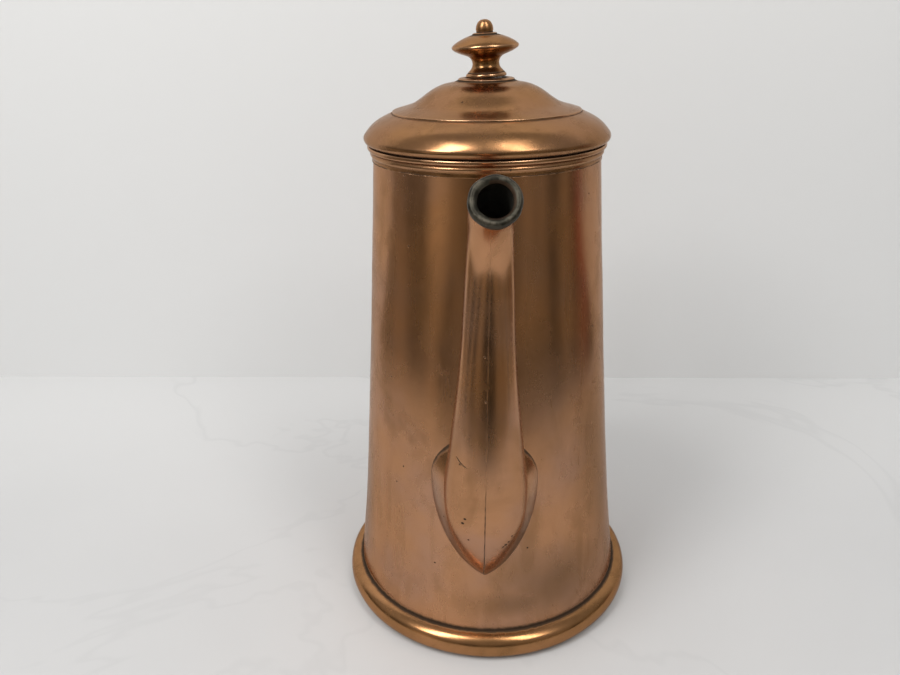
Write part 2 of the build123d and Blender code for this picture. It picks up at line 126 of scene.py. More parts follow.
def outline(*spans, closed=True, corner=CORNER):
    """Outline of spans joined end to end, with its corners rounded over a little. Returns the
    points and how strongly the line bends at each, positive where it stands proud."""
    line = np.concatenate([span(s, FINE_STEP)[:-1] for s in spans])
    if not closed:
        line = np.vstack([line, spans[-1][-1]])
    line = resample(np.vstack([line, line[:1]]) if closed else line,
                    np.linspace(0, 1, 10 * (len(line) // 10 + 1)))
    if closed:
        line = line[:-1]
    reach = int(3 * corner / FINE_STEP) + 1
    weights = np.exp(-0.5 * (np.arange(-reach, reach + 1) * FINE_STEP / corner) ** 2)
    weights /= weights.sum()
    mode = "wrap" if closed else "edge"
    padded = np.pad(line, ((reach, reach), (0, 0)), mode=mode)
    ends = line[0].copy(), line[-1].copy()
    line = np.column_stack([np.convolve(padded[:, k], weights, "valid") for k in range(2)])
    if not closed:
        line[0], line[-1] = ends
    area = np.sum(line[:, 0] * np.roll(line[:, 1], -1) - np.roll(line[:, 0], -1) * line[:, 1])
    if closed and area < 0:
        line = line[::-1]
    ahead = np.roll(line, -1, 0) - line
    heading = np.unwrap(np.arctan2(ahead[:, 1], ahead[:, 0]))
    turn = heading - np.roll(heading, 1)
    turn = (turn + math.pi) % (2 * math.pi) - math.pi
    bend = turn / np.maximum(np.linalg.norm(ahead, axis=1), 1e-6)
    keep = [0]
    turned = walked = 0.0
    for i in range(1, len(line)):
        turned += abs(turn[i])
        walked += np.linalg.norm(line[i] - line[i - 1])
        if turned > TURN_PER_ROW or walked > LONGEST_ROW or (not closed and i == len(line) - 1):
            keep.append(i)
            turned = walked = 0.0
    return line[keep], bend[keep]


# ---------------- Meshes

SHARP_ANGLE = math.radians(40)
MERGE_DISTANCE = 2e-6          # in metres


def grid_faces(rows, columns, close_rows, close_columns):
    """Faces of a grid of vertices, numbered row by row, as a list."""
    last_row = rows if close_rows else rows - 1
    last_column = columns if close_columns else columns - 1
    i, j = np.meshgrid(np.arange(last_row), np.arange(last_column), indexing="ij")
    below = (i + 1) % rows
    beside = (j + 1) % columns
    return np.stack([i * columns + j, i * columns + beside, below * columns + beside,
                     below * columns + j], -1).reshape(-1, 4).tolist()


def piece(name, points, faces, body, nodes, material, marks=None):
    """A new piece from points in millimetres. Marks are per-point values for its material."""
    mesh = bpy.data.meshes.new(name)
    mesh.from_pydata((points * MM).tolist(), [], faces)
    for key, values in (marks or {}).items():
        attribute = mesh.attributes.new(key, "FLOAT", "POINT")
        attribute.data.foreach_set("value", np.asarray(values, np.float32))
    work = bmesh.new()
    work.from_mesh(mesh)
    bmesh.ops.remove_doubles(work, verts=work.verts, dist=MERGE_DISTANCE)
    bmesh.ops.recalc_face_normals(work, faces=work.faces)
    for face in work.faces:
        face.smooth = True
    work.to_mesh(mesh)
    work.free()
    mesh.set_sharp_from_angle(angle=SHARP_ANGLE)
    obj = bpy.data.objects.new(name, mesh)
    bpy.context.scene.collection.objects.link(obj)
    mesh.materials.append(material)
    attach(obj, body)
    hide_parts(*nodes)
    return obj


def wobble(points, size, scale, seed):
    """Smooth noise at each point, from -size to size."""
    offset = Vector((seed, 2 * seed, 3 * seed))
    return np.array([size * noise.noise(Vector(p) / scale + offset) for p in points])


def crevice_grime_and_shade(points, crevices):
    """Grime and painted shade at each point, from rings of (radius, height, reach, strength)."""
    radius = np.hypot(points[:, 0], points[:, 1])
    grime_and_shade = np.zeros(len(points))
    for ring_radius, height, reach, strength in crevices:
        gap = np.hypot(radius - ring_radius, points[:, 2] - height)
        grime_and_shade = np.maximum(grime_and_shade, strength * np.exp(-(gap / reach) ** 2))
    return grime_and_shade


def turned(name, shape, body, nodes, slot, material, segments=256, crevices=(), dents=0.0,
           dent_size=30.0, place=None, inside=None):
    """A piece turned on the lathe or raised from sheet, about the pot's axis or a leaning one."""
    line, bend = shape
    angles = np.linspace(0, 2 * math.pi, segments, endpoint=False)
    cosines, sines = np.cos(angles), np.sin(angles)
    points = np.stack([line[:, :1] * cosines, line[:, :1] * sines,
                       np.repeat(line[:, 1:], segments, 1)], -1).reshape(-1, 3)
    marks = {
        # Lighter on proud bends: wear and a painted highlight.
        "edge": np.repeat(np.clip((bend - 0.25) / 1.2, 0, 1), segments),
        # Darker in hollow bends and crevice rings: grime and painted shade.
        "grime_and_shade": np.repeat(np.clip((-bend - 0.3) / 2.5, 0, 0.35), segments),
    }
    marks["grime_and_shade"] = np.maximum(marks["grime_and_shade"], crevice_grime_and_shade(points, crevices))
    if inside is not None:
        marks["inside"] = inside(points).astype(float)
    if dents:
        push = wobble(points, dents, dent_size, len(name))
        radius = np.maximum(np.hypot(points[:, 0], points[:, 1]), 1e-6)
        points[:, 0] *= 1 + push / radius
        points[:, 1] *= 1 + push / radius
    if place is not None:
        rotation = np.array(place.to_3x3())
        points = points @ rotation.T + np.array(place.translation)
    return piece(name, points, grid_faces(len(line), segments, True, True), body, nodes,
                 material, marks)


def shell(name, outer, inner, body, nodes, material, marks):
    """A closed tube wall from an outer and an inner grid of points, rows along the tube. Each
    mark has its values on the outer and on the inner grid."""
    rows, columns, _ = outer.shape
    points = np.concatenate([outer, inner[::-1]]).reshape(-1, 3)
    marks = {key: np.concatenate([on_outer, on_inner[::-1]]).ravel()
             for key, (on_outer, on_inner) in marks.items()}
    piece(name, points, grid_faces(2 * rows, columns, True, True), body, nodes, material,
          marks)


# ---------------- Materials

class Tree:
    """Short names for building a node tree."""

    def __init__(self, tree):
        self.tree = tree

    def add(self, kind, settings=None, **inputs):
        """A new node. Its inputs are given by name, or by number as i0, i1 and so on."""
        node = self.tree.nodes.new(kind)
        for key, value in (settings or {}).items():
            setattr(node, key, value)
        for key, value in inputs.items():
            numbered = key[0] == "i" and key[1:].isdigit()
            self.feed(node.inputs[int(key[1:]) if numbered else key.replace("_", " ")], value)
        return node

    def feed(self, socket, value):
        if isinstance(value, bpy.types.NodeSocket):
            self.tree.links.new(value, socket)
        else:
            socket.default_value = value

    def math(self, operation, first, second=0.0, third=0.0, clamp=False):
        node = self.add("ShaderNodeMath", {"operation": operation, "use_clamp": clamp},
                        i0=first, i1=second, i2=third)
        return node.outputs[0]

    def scaled(self, vector, by):
        return self.add("ShaderNodeVectorMath", {"operation": "MULTIPLY"}, i0=vector,
                        i1=by).outputs[0]

    def noise(self, vector, scale, detail=4.0, roughness=0.55, distortion=0.0):
        return self.add("ShaderNodeTexNoise", Vector=vector, Scale=scale, Detail=detail,
                        Roughness=roughness, Distortion=distortion).outputs["Fac"]

    def ramp(self, value, start, end, start_to=0.0, end_to=1.0):
        """A smooth step: start_to below start, end_to above end."""
        return self.add("ShaderNodeMapRange", {"interpolation_type": "SMOOTHSTEP"}, Value=value,
                        From_Min=start, From_Max=end, To_Min=start_to, To_Max=end_to).outputs[0]

    def mix(self, share, first, second):
        return self.add("ShaderNodeMix", {"data_type": "RGBA"}, Factor=share, i6=first,
                        i7=second).outputs[2]

    def bump(self, height, distance, normal=None):
        node = self.add("ShaderNodeBump", Height=height, Distance=distance, Strength=1.0)
        if normal is not None:
            self.feed(node.inputs["Normal"], normal)
        return node.outputs[0]


class Nodes(Tree):
    """The node tree of a new material."""

    def __init__(self, name):
        self.material = bpy.data.materials.new(name)
        self.material.use_nodes = True
        super().__init__(self.material.node_tree)
        self.shader = self.tree.nodes["Principled BSDF"]
        self.position = self.add("ShaderNodeTexCoord").outputs["Object"]

    def mark(self, name):
        """A piece's own per-point values."""
        return self.add("ShaderNodeAttribute", {"attribute_name": name}).outputs["Fac"]

    def distance(self, place, squash=(1.0, 1.0, 1.0)):
        """Distance from a place, in metres, with each axis counted by its squash."""
        off = self.add("ShaderNodeVectorMath", {"operation": "SUBTRACT"}, i0=self.position,
                       i1=place).outputs[0]
        return self.add("ShaderNodeVectorMath", {"operation": "LENGTH"},
                        i0=self.scaled(off, squash)).outputs["Value"]

    def strongest(self, first, *others):
        """The largest of several values."""
        for other in others:
            first = self.math("MAXIMUM", first, other)
        return first

    def spots(self, scale, size, rarity):
        """Scattered round spots, of a size given as a share of their spacing."""
        cells = self.add("ShaderNodeTexVoronoi", Vector=self.position, Scale=scale)
        picked = self.add("ShaderNodeSeparateColor", Color=cells.outputs["Color"]).outputs[0]
        dot = self.ramp(cells.outputs["Distance"], size, size * 0.55)
        return self.math("MULTIPLY", dot, self.math("GREATER_THAN", picked, rarity))

    def cut_away(self, share):
        """Make a share of the surface clear."""
        clear = self.add("ShaderNodeBsdfTransparent").outputs[0]
        blend = self.add("ShaderNodeMixShader", i0=share, i1=self.shader.outputs[0], i2=clear)
        self.feed(self.tree.nodes["Material Output"].inputs["Surface"], blend.outputs[0])


def color(red, green, blue):
    return (red, green, blue, 1.0)


def copper(name, bright, dark, pink, dull=0.0, streak=0.25, pits=0.93, line_marks=(),
           smudges_and_shade=None):
    """Aged copper: tarnished blotches, drawn-out streaks, rub marks, pits, grime, painted shade."""
    n = Nodes(name)
    drawn = n.scaled(n.position, (1.0, 1.0, streak))
    blotch = n.noise(n.position, 24.0, 3.0, 0.5)
    streaks = n.noise(drawn, 95.0, 5.0, 0.55, 0.6)
    smudge = n.noise(n.position, 15.0, 4.0, 0.6, 0.8)
    haze = n.noise(n.position, 70.0, 4.0, 0.6)
    rubbed = n.noise(n.scaled(n.position, (1.0, 1.0, 0.12)), 1400.0, 2.0, 0.5)
    tone = n.mix(n.ramp(blotch, 0.38, 0.66), bright, pink)
    tone = n.mix(n.ramp(streaks, 0.44, 0.78, 0.0, 0.45), tone, dark)
    tone = n.mix(n.ramp(haze, 0.52, 0.80, 0.0, 0.35), tone, dark)
    tone = n.mix(n.ramp(smudge, 0.50, 0.72, 0.0, 0.55), tone, dark)
    # Soft dark patches on the body: partly tarnished copper, partly painted shade.
    if smudges_and_shade:
        tone = n.mix(smudges_and_shade(n), tone, color(0.17, 0.095, 0.048))
    # Proud edges are lighter: partly rubbed wear, partly a painted highlight.
    edge = n.mark("edge")
    tone = n.mix(n.math("MULTIPLY", edge, 0.5), tone, color(0.74, 0.45, 0.28))
    uneven = n.noise(n.position, 420.0, 4.0, 0.65)
    # Hollows, bends and crevice rings are darkened unevenly: partly grime, partly painted shade.
    grime_and_shade = n.ramp(n.math("ADD", n.mark("grime_and_shade"), n.math("MULTIPLY", uneven, 0.5)), 0.45, 0.95)
    spots = n.strongest(n.spots(210.0, 0.11, pits), n.spots(95.0, 0.05, 0.90),
                        *[line_mark(n) for line_mark in line_marks])
    grime_pits_and_shade = n.math("MAXIMUM", grime_and_shade, spots)
    inside = n.mark("inside")
    tin = n.mix(n.ramp(haze, 0.35, 0.7), color(0.34, 0.33, 0.30), color(0.17, 0.13, 0.10))
    tone = n.mix(inside, tone, tin)
    # Grime, pits and painted shade turn the copper almost black.
    tone = n.mix(grime_pits_and_shade, tone, color(0.050, 0.031, 0.019))
    n.feed(n.shader.inputs["Base Color"], tone)
    n.feed(n.shader.inputs["Metallic"], n.math("SUBTRACT", 1.0, n.math("MULTIPLY", grime_pits_and_shade, 0.85)))
    rough = n.ramp(streaks, 0.35, 0.75, 0.20 + dull, 0.28 + dull)
    rough = n.math("ADD", rough, n.ramp(haze, 0.45, 0.75, 0.0, 0.07))
    rough = n.math("ADD", rough, n.math("MULTIPLY", rubbed, 0.04))
    rough = n.math("ADD", rough, n.math("MULTIPLY", inside, 0.18))
    rough = n.math("ADD", rough, n.math("MULTIPLY", grime_pits_and_shade, 0.45), clamp=True)
    n.feed(n.shader.inputs["Roughness"], rough)
    n.shader.inputs["Specular Tint"].default_value = color(0.80, 0.70, 0.62)
    n.shader.inputs["Specular IOR Level"].default_value = 0.2
    relief = n.bump(n.math("MULTIPLY", spots, -1.0), 0.00025)
    relief = n.bump(n.math("MULTIPLY", grime_and_shade, uneven), 0.00012, relief)
    relief = n.bump(rubbed, 0.000004, relief)
    relief = n.bump(haze, 0.00003, relief)
    n.feed(n.shader.inputs["Normal"], relief)
    return n.material


def tin(name, light, dark, rough=0.38):
    """Darkened tin and solder, uneven and a little greenish."""
    n = Nodes(name)
    cloud = n.noise(n.position, 260.0, 5.0, 0.6)
    grain = n.noise(n.position, 1500.0, 3.0, 0.6)
    edge = n.mark("edge")
    tone = n.mix(n.ramp(cloud, 0.35, 0.7), dark, light)
    # Proud edges are lighter in patches: partly wear, partly a painted highlight.
    tone = n.mix(n.math("MULTIPLY", edge, n.ramp(cloud, 0.45, 0.65, 0.0, 0.6)), tone,
                 color(0.22, 0.18, 0.14))
    # Where marked inside, the tin is darkened almost black: painted shade.
    tone = n.mix(n.ramp(n.mark("inside"), 0.2, 0.9), tone, color(0.07, 0.045, 0.03))
    n.feed(n.shader.inputs["Base Color"], tone)
    n.shader.inputs["Metallic"].default_value = 0.85
    n.feed(n.shader.inputs["Roughness"], n.ramp(cloud, 0.3, 0.7, rough - 0.08, rough + 0.14))
    relief = n.bump(cloud, 0.00025)
    n.feed(n.shader.inputs["Normal"], n.bump(grain, 0.00003, relief))
    return n.material


def brass(name):
    """Aged brass with scratches and dirt."""
    n = Nodes(name)
    cloud = n.noise(n.position, 160.0, 5.0, 0.6)
    scratch = n.noise(n.scaled(n.position, (0.1, 1.0, 1.0)), 2200.0, 2.0)
    tone = n.mix(n.ramp(cloud, 0.35, 0.7), color(0.44, 0.27, 0.105), color(0.17, 0.10, 0.05))
    n.feed(n.shader.inputs["Base Color"], tone)
    n.shader.inputs["Metallic"].default_value = 1.0
    n.feed(n.shader.inputs["Roughness"], n.ramp(cloud, 0.3, 0.7, 0.24, 0.45))
    relief = n.bump(cloud, 0.00005)
    n.feed(n.shader.inputs["Normal"], n.bump(scratch, 0.00002, relief))
    return n.material


def wood(name):
    """Dark, oiled hardwood with its grain along Z."""
    n = Nodes(name)
    bent = n.noise(n.scaled(n.position, (1.0, 1.0, 0.3)), 30.0, 3.0)
    across = n.scaled(n.position, (1.0, 1.0, 0.035))
    rings = n.add("ShaderNodeTexWave", {"bands_direction": "DIAGONAL"}, Vector=across, Scale=90.0,
                  Distortion=n.math("MULTIPLY", bent, 9.0), Detail=3.0).outputs["Fac"]
    pores = n.noise(n.scaled(n.position, (1.0, 1.0, 0.02)), 2600.0, 3.0, 0.7)
    tone = n.mix(n.ramp(rings, 0.2, 0.8), color(0.026, 0.012, 0.007), color(0.075, 0.034, 0.018))
    tone = n.mix(n.ramp(pores, 0.55, 0.72, 0.0, 0.8), tone, color(0.012, 0.006, 0.004))
    worn = n.noise(n.position, 28.0, 3.0)
    tone = n.mix(n.ramp(worn, 0.52, 0.75, 0.0, 0.5), tone, color(0.13, 0.065, 0.034))
    n.feed(n.shader.inputs["Base Color"], tone)
    n.feed(n.shader.inputs["Roughness"], n.ramp(worn, 0.35, 0.7, 0.42, 0.27))
    n.shader.inputs["Coat Weight"].default_value = 0.25
    n.shader.inputs["Coat Roughness"].default_value = 0.3
    relief = n.bump(n.ramp(pores, 0.5, 0.75), 0.00008)
    n.feed(n.shader.inputs["Normal"], n.bump(rings, 0.00004, relief))
    return n.material


SPOUT_LEAN = 0.016
SPOUT_START = (-1.2, 44.0)     # X and Z at the tip of the spout's root
FROM_FRONT = (1.0, 0.0, 1.0)   # a distance that leaves out the depth


def lean_x(height):
    """X of the spout's middle at a height."""
    return SPOUT_START[0] + SPOUT_LEAN * (height - SPOUT_START[1])


def seam_line(n):
    """The fine brazed seam down the spout's front."""
    axes = n.add("ShaderNodeSeparateXYZ", Vector=n.position)
    middle = n.math("MULTIPLY_ADD", axes.outputs[2], SPOUT_LEAN, lean_x(0) * MM)
    wander = n.math("MULTIPLY", n.math("SUBTRACT", n.noise(n.position, 90.0, 2.0), 0.5), 0.0006)
    aside = n.math("ABSOLUTE", n.math("ADD", n.math("SUBTRACT", axes.outputs[0], middle), wander))
    thin = n.ramp(aside, 0.00036, 0.00010)
    fade = n.ramp(axes.outputs[2], 0.094, 0.118, 0.85, 0.10)
    broken = n.ramp(n.noise(n.position, 180.0, 3.0), 0.35, 0.6, 0.55, 1.0)
    return n.math("MULTIPLY", thin, n.math("MULTIPLY", fade, broken))


def tarnish_and_shade(n):
    """Broad, soft darkening low on the body's front and down its right side: tarnished patches and
    painted shade.
    """
    wander = n.math("MULTIPLY", n.noise(n.position, 30.0, 4.0), 0.9)
    smudges_and_shade = n.strongest(*[
        n.math("MULTIPLY", n.ramp(n.distance(place, squash), reach, 0.0), strength)
        for place, squash, reach, strength in (
            ((0.016, -0.066, 0.027), (0.4, 0.5, 1.4), 0.016, 0.65),
            ((0.034, -0.056, 0.034), (0.6, 0.6, 0.8), 0.024, 0.75),
            ((0.054, -0.034, 0.100), (0.9, 0.9, 0.28), 0.026, 0.70),
            ((-0.062, -0.020, 0.060), (0.9, 0.9, 0.28), 0.014, 0.45),
            ((0.030, -0.052, 0.130), (0.6, 0.6, 0.35), 0.018, 0.45))])
    return n.math("MULTIPLY", smudges_and_shade, n.math("ADD", wander, 0.5), clamp=True)


def scratch_arc(n):
    """A short curved scratch on the left of the spout's front."""
    away = n.distance((-0.0030, -0.0895, 0.1265), FROM_FRONT)
    ring = n.ramp(n.math("ABSOLUTE", n.math("SUBTRACT", away, 0.0105)), 0.00034, 0.00012)
    near = n.distance((-0.0095, -0.0870, 0.1180))
    return n.math("MULTIPLY", ring, n.ramp(near, 0.0040, 0.0030))


def front_spots(n):
    """Small dark pits on the front of the spout and the body."""
    return n.strongest(*[
        n.ramp(n.distance((x, 0, z), FROM_FRONT), radius, radius * 0.6)
        for x, z, radius in (
            (-0.0098, 0.0888, 0.0008), (-0.0088, 0.0915, 0.0007), (-0.0075, 0.0790, 0.0005),
            (-0.0105, 0.1180, 0.0005), (0.0072, 0.0738, 0.0006), (0.0082, 0.0750, 0.0008),
            (0.0094, 0.0765, 0.0006), (0.0108, 0.0800, 0.0005))])


CRACK_Z = low("rim_collar")[2] + 0.35


def collar_crack(n):
    """The uneven dark line along the collar's lower edge."""
    height = n.add("ShaderNodeSeparateXYZ", Vector=n.position).outputs[2]
    around = n.scaled(n.position, (1.0, 1.0, 0.0))
    ragged = n.math("MULTIPLY", n.math("SUBTRACT", n.noise(around, 260.0, 4.0, 0.7), 0.5), 0.0011)
    gap = n.math("ABSOLUTE", n.math("SUBTRACT", n.math("ADD", height, ragged), CRACK_Z * MM))
    broken = n.ramp(n.noise(around, 45.0, 3.0), 0.42, 0.52)
    return n.math("MULTIPLY", n.ramp(gap, 0.00026, 0.0001), broken)


BRIGHT = color(0.52, 0.265, 0.135)
BROWN = color(0.30, 0.155, 0.070)
PINK = color(0.47, 0.260, 0.165)
# The foot's copper is darker than the body's: painted shade, for the dark surroundings it reflects.
FOOT_BRIGHT = color(0.430, 0.215, 0.095)
LID_BRIGHT = color(0.370, 0.187, 0.078)
LID_BROWN = color(0.235, 0.118, 0.048)
LID_PINK = color(0.365, 0.190, 0.100)
copper_body = copper("copper_body", BRIGHT, BROWN, PINK, smudges_and_shade=tarnish_and_shade)
copper_plain = copper("copper_plain", BRIGHT, BROWN, PINK)
copper_spout = copper("copper_spout", BRIGHT, BROWN, PINK, 0.0, 0.3, 0.95,
                      (seam_line, scratch_arc, front_spots))
copper_collar = copper("copper_collar", LID_BRIGHT, LID_BROWN, LID_PINK, -0.02, 1.0, 0.95,
                       (collar_crack,))
copper_lid = copper("copper_lid", LID_BRIGHT, LID_BROWN, LID_PINK, -0.01, 1.0)
copper_foot = copper("copper_foot", FOOT_BRIGHT, LID_BROWN, LID_BRIGHT, -0.03, 1.0)
copper_knob = copper("copper_knob", LID_BRIGHT, LID_BROWN, LID_PINK, 0.0, 1.0, 0.97)
tin_lip = tin("tinned_lip", color(0.070, 0.066, 0.050), color(0.026, 0.023, 0.017), 0.46)
tin_bezel = tin("tinned_bezel", color(0.42, 0.41, 0.37), color(0.24, 0.22, 0.19))
brass_metal = brass("brass")
grip_wood = wood("grip_wood")

# ---------------- Body, foot and collar

SHEET = 1.0
foot_high = high("foot_ring")
foot_top = foot_high[2]
bead_r = foot_top / 2
wall_foot_r = foot_high[0] - bead_r
rim_z = high("body_wall")[2]
RIM_R = 50.2
WALL = cubic([foot_top, 50.0, 140.0, rim_z], [wall_foot_r, 63.9, 56.5, RIM_R])


def wall_radius(height):
    """Outer radius of the body at a height."""
    height = np.asarray(height, float)
    return np.where(height < foot_top, wall_foot_r, WALL(np.maximum(height, foot_top)))


def wall_side(inset, start, end):
    """The body's side between two heights, moved in."""
    heights = np.linspace(start, end, 14)
    return [(r - inset, z) for r, z in zip(wall_radius(heights), heights)]


wall_bottom = low("body_wall")[2]
body_shape = outline(
    [(wall_foot_r, wall_bottom), (wall_foot_r, foot_top)],
    wall_side(0, foot_top, rim_z),
    [(RIM_R, rim_z), (RIM_R - SHEET, rim_z)],
    wall_side(SHEET, foot_top, rim_z)[::-1],
    [(wall_foot_r - SHEET, foot_top), (wall_foot_r - SHEET, wall_bottom)],
    [(wall_foot_r - SHEET, wall_bottom), (wall_foot_r, wall_bottom)])
body = turned(
    "body_sheet", body_shape, POT, ["body_wall"], "copper_body", copper_body, 384,
    crevices=((wall_foot_r, foot_top, 1.7, 0.85), (RIM_R + 0.3, low("rim_collar")[2], 0.5, 0.35)),
    dents=0.22, dent_size=34.0,
    inside=lambda p: np.hypot(p[:, 0], p[:, 1]) < wall_radius(p[:, 2]) - 0.5 * SHEET)

STRAINER_HOLE_R = 1.9
STRAINER_HOLES = (4, 5)        # across and up
STRAINER_PITCH = (7, 8)
STRAINER_MIDDLE = (lean_x(80.0), -60, 80.0)
strainer = bmesh.new()
for column in range(STRAINER_HOLES[0]):
    for row in range(STRAINER_HOLES[1]):
        across = STRAINER_PITCH[0] * (column - (STRAINER_HOLES[0] - 1) / 2)
        up = STRAINER_PITCH[1] * (row - (STRAINER_HOLES[1] - 1) / 2)
        made = bmesh.ops.create_cone(strainer, cap_ends=True, segments=24, depth=24 * MM,
                                     radius1=STRAINER_HOLE_R * MM, radius2=STRAINER_HOLE_R * MM)
        place = Matrix.Translation((Vector(STRAINER_MIDDLE) + Vector((across, 0, up))) * MM)
        bmesh.ops.transform(strainer, matrix=place @ Matrix.Rotation(math.pi / 2, 4, "X"),
                            verts=made["verts"])
cutter_mesh = bpy.data.meshes.new("strainer_cutter")
strainer.to_mesh(cutter_mesh)
strainer.free()
cutter = bpy.data.objects.new("strainer_cutter", cutter_mesh)
bpy.context.scene.collection.objects.link(cutter)
pierce = body.modifiers.new("pierce", "BOOLEAN")
pierce.operation = "DIFFERENCE"
pierce.solver = "EXACT"
pierce.object = cutter
bpy.context.view_layer.update()
pierced = bpy.data.meshes.new_from_object(body.evaluated_get(bpy.context.evaluated_depsgraph_get()))
body.modifiers.clear()
body.data = pierced
bpy.data.objects.remove(cutter)

rest_inner_r = 63.0
quarter = math.sqrt(0.5)
foot_shape = outline(
    [(wall_foot_r, 0), (wall_foot_r + bead_r * quarter, bead_r * (1 - quarter)),
     (wall_foot_r + bead_r, bead_r), (wall_foot_r + bead_r * quarter, bead_r * (1 + quarter)),
     (wall_foot_r, foot_top)],
    [(wall_foot_r, foot_top), (wall_foot_r, foot_top - SHEET)],
    [(wall_foot_r, foot_top - SHEET),
     (wall_foot_r + (bead_r - SHEET) * quarter, bead_r + (bead_r - SHEET) * quarter),
     (wall_foot_r + bead_r - SHEET, bead_r),
     (wall_foot_r + (bead_r - SHEET) * quarter, bead_r - (bead_r - SHEET) * quarter),
     (wall_foot_r, SHEET)],
    [(wall_foot_r, SHEET), (rest_inner_r, SHEET)],
    [(rest_inner_r, SHEET), (rest_inner_r, 0)],
    [(rest_inner_r, 0), (wall_foot_r, 0)])
turned("foot_bead", foot_shape, POT, ["foot_ring"], "copper_foot", copper_foot, 384,
       crevices=((wall_foot_r, foot_top, 1.4, 0.85),), dents=0.25, dent_size=22.0)

pan_top = high("base_pan")[2]
pan_r = high("base_pan")[0]
pan_shape = outline(
    [(0, pan_top), (pan_r - 1.6, pan_top)],
    [(pan_r - 1.6, pan_top), (pan_r - 0.5, pan_top - 0.5), (pan_r, pan_top - 1.6)],
    [(pan_r, pan_top - 1.6), (pan_r, SHEET)],
    [(pan_r, SHEET), (pan_r - SHEET, SHEET)],
    [(pan_r - SHEET, SHEET), (pan_r - SHEET, pan_top - SHEET)],
    [(pan_r - SHEET, pan_top - SHEET), (0, pan_top - SHEET)], closed=False)


def open_turned(name, shape, *rest, **more):
    """A turned piece whose outline starts and ends on the axis."""
    line, bend = shape
    line = line.copy()
    line[0, 0] = line[-1, 0] = 0.0
    return turned(name, (line, bend), *rest, **more)


open_turned("base_disc", pan_shape, POT, ["base_pan"], "copper_base", copper_plain, 192,
            crevices=((pan_r, pan_top, 3.0, 0.8),),
            inside=lambda p: p[:, 2] > pan_top - 0.5 * SHEET)

collar_low = low("rim_collar")[2]
collar_top = high("rim_collar")[2]
collar_r = high("rim_collar")[0]
collar_wall_r = float(wall_radius(collar_low)) + 0.02
collar_shape = outline(
    [(RIM_R - SHEET, collar_top), (collar_r - 0.8, collar_top)],
    moved(collar_r, collar_top, [(-0.8, 0), (-0.1, -0.5), (0, -1.2), (-0.35, -2.0), (-1.0, -2.5),
                                 (-1.45, -2.95)]),
    moved(collar_r, collar_top, [(-1.45, -2.95), (-1.15, -3.6), (-1.2, -4.3), (-1.6, -4.85),
                                 (-1.85, -5.2)]),
    [(collar_r - 1.85, collar_top - 5.2), (collar_r - 1.80, collar_low)],
    [(collar_r - 1.80, collar_low), (collar_wall_r, collar_low)],
    [(collar_wall_r, collar_low), (RIM_R + 0.04, rim_z + 0.02)],
    [(RIM_R + 0.04, rim_z + 0.02), (RIM_R - SHEET, rim_z + 0.02)],
    [(RIM_R - SHEET, rim_z + 0.02), (RIM_R - SHEET, collar_top)], corner=0.12)
turned("collar_band", collar_shape, POT, ["rim_collar"], "copper_collar", copper_collar, 320,
       crevices=((collar_r - 1.5, collar_top - 2.95, 0.3, 0.45),
                 (collar_r - 1.9, collar_top - 5.2, 0.3, 0.4), (RIM_R, collar_top, 1.8, 1.0)),
       dents=0.1)

# ---------------- Lid

GAUGE = 0.8
lid_low = low("lid_rim_moulding")[2]
lid_r = high("lid_rim_moulding")[0]
dome_r = high("lid_dome")[0]
dome_top = high("lid_dome")[2]
bezel_r = high("lid_bezel")[0]


def inset_line(points, amount):
    """A line moved to its inner side, which is on the right of its direction."""
    points = np.asarray(points, float)
    ahead = np.gradient(points, axis=0)
    ahead /= np.linalg.norm(ahead, axis=1)[:, None]
    return points + amount * np.column_stack([ahead[:, 1], -ahead[:, 0]])


LIP_FOLD_R = 52.5
cushion = span(moved(0, dome_top, [
    (dome_r, -12.9), (43.0, -13.55), (45.0, -14.45), (47.0, -15.4), (49.0, -16.6), (51.0, -18.2),
    (52.5, -19.8), (53.6, -21.2), (lid_r - 0.02, -22.6), (lid_r - 0.15, -23.8), (53.4, -24.85)])
    + [(LIP_FOLD_R, lid_low)], 1.0)
cushion[-1] = (LIP_FOLD_R, lid_low)
cushion_inside = inset_line(cushion, GAUGE)
shelf_inner = 37.0
shelf_z = dome_top - 11.75
rim_shape = outline(
    [(shelf_inner, shelf_z), cushion[0]],
    cushion,
    [(LIP_FOLD_R, lid_low), (bezel_r, lid_low)],
    [(bezel_r, lid_low), (bezel_r, lid_low + GAUGE)],
    [(bezel_r, lid_low + GAUGE), (cushion_inside[-1][0] - 0.3, lid_low + GAUGE)],
    cushion_inside[::-1][1:],
    [cushion_inside[0], (shelf_inner, shelf_z - GAUGE)],
    [(shelf_inner, shelf_z - GAUGE), (shelf_inner, shelf_z)])
turned("lid_rim", rim_shape, LID, ["lid_rim_moulding"], "copper_lid", copper_lid, 320,
       crevices=((dome_r, dome_top - 12.9, 0.5, 0.6), (52.4, lid_low, 1.0, 0.9)), dents=0.12)

